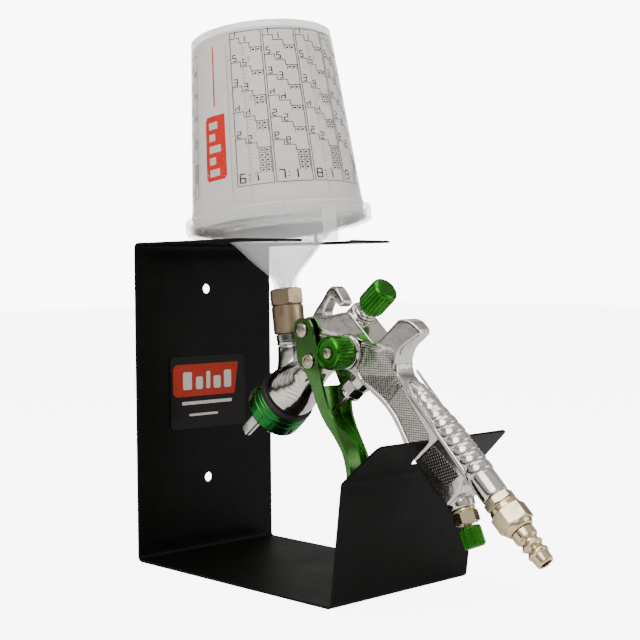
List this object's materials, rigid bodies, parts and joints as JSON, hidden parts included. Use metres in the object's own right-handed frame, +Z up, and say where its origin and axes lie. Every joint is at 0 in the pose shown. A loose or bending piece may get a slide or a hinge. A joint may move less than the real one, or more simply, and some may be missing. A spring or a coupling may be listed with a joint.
{
  "type": "spray gun holder with gun",
  "caption": "Folded sheet wall holder with round fork and notched front, holding a gravity-feed spray gun by its inverted mixing cup.",
  "frame": {"origin": "middle of the shelf's underside: the holder's width centre, half way between the wall and the foot of the front plate", "axes": "+Z up, +Y into the wall, -Y towards the user, X across the width with the gun's pattern knob on the -X side"},
  "size_m": [0.1312, 0.2909, 0.3468],
  "materials": {
    "black_powder": "fine satin powder coat",
    "label_vinyl": "printed gloss film",
    "cup_plastic": "translucent, printed scales",
    "lid_plastic": "translucent moulded",
    "filter_mesh": "fine woven mesh",
    "dull_nickel": "dull plated",
    "chrome_plate": "bright plated casting",
    "black_rubber": "satin",
    "green_anodised": "bright green anodised",
    "steel": "turned",
    "pale_brass": "nickel-washed brass"
  },
  "bodies": {
    "stand": {"stand_frame": "black_powder", "stand_label": "label_vinyl"},
    "gun": {"gun_body": "chrome_plate", "cup_adapter": "dull_nickel", "inlet_nipple": "chrome_plate", "ring_seal": "black_rubber", "fluid_nozzle": "steel", "fluid_knob_gland": "chrome_plate", "pattern_seat": "chrome_plate", "air_valve_gland": "chrome_plate", "air_inlet_nut": "steel", "coupling_adapter": "pale_brass", "coupling_plug": "steel", "air_regulator_nut": "steel", "air_regulator_stem": "steel", "cup_lid": "lid_plastic", "lid_filter": "filter_mesh", "trigger_pivot_screw": "steel", "trigger_pivot_nut": "steel"},
    "cup": {"mixing_cup": "cup_plastic"},
    "trigger_group": {"trigger": "green_anodised", "puller_rivet_near": "steel", "puller_rivet_far": "steel"},
    "needle": {"fluid_needle": "steel"},
    "valve_stem": {"air_valve_stem": "steel"},
    "fluid_knob_group": {"fluid_knob": "green_anodised"},
    "pattern_knob_group": {"pattern_knob": "green_anodised", "pattern_knob_screw": "steel"},
    "regulator_knob_group": {"air_regulator_knob": "green_anodised"},
    "ring_group": {"air_cap_ring": "green_anodised"},
    "cap_group": {"air_cap": "chrome_plate"}
  },
  "joints": [
    {"name": "gun_lift", "type": "slide", "parent": "stand", "child": "gun", "axis": [0, 0, 1], "range_m": [0, 0.03]},
    {"name": "cup_pull", "type": "slide", "parent": "gun", "child": "cup", "axis": [0, 0.1323, 0.9912], "range_m": [0, 0.05]},
    {"name": "trigger_pull", "type": "hinge", "parent": "gun", "child": "trigger_group", "pos_m": [0, -0.02155, 0.154], "axis": [-1, 0, 0], "range_deg": [0, 14], "stiffness_Nm_per_rad": 0.6, "springref_deg": -20.05},
    {"name": "needle_slide", "type": "slide", "parent": "gun", "child": "needle", "axis": [0, -0.7859, 0.6184], "range_m": [0, 0.005]},
    {"name": "valve_slide", "type": "slide", "parent": "gun", "child": "valve_stem", "axis": [0, -0.7859, 0.6184], "range_m": [0, 0.012]},
    {"name": "fluid_knob_turn", "type": "hinge", "parent": "gun", "child": "fluid_knob_group", "pos_m": [0, -0.07244, 0.17334], "axis": [0, -0.7859, 0.6184], "continuous": true},
    {"name": "pattern_knob_turn", "type": "hinge", "parent": "gun", "child": "pattern_knob_group", "pos_m": [-0.02, -0.05825, 0.1416], "axis": [-1, 0, 0], "range_deg": [-90, 180]},
    {"name": "regulator_knob_turn", "type": "hinge", "parent": "gun", "child": "regulator_knob_group", "pos_m": [0, -0.14453, 0.04204], "axis": [0, -0.3987, -0.9171], "continuous": true},
    {"name": "ring_turn", "type": "hinge", "parent": "gun", "child": "ring_group", "pos_m": [0, 0.01558, 0.10408], "axis": [0, -0.7859, 0.6184], "continuous": true},
    {"name": "air_cap_turn", "type": "hinge", "parent": "gun", "child": "cap_group", "pos_m": [0, 0.02187, 0.09913], "axis": [0, -0.7859, 0.6184], "range_deg": [-90, 90]}
  ],
  "couplings": [
    {"joint": "needle_slide", "follows": "trigger_pull", "m_per_rad": 0.0184},
    {"joint": "valve_slide", "follows": "trigger_pull", "m_per_rad": 0.0473}
  ]
}
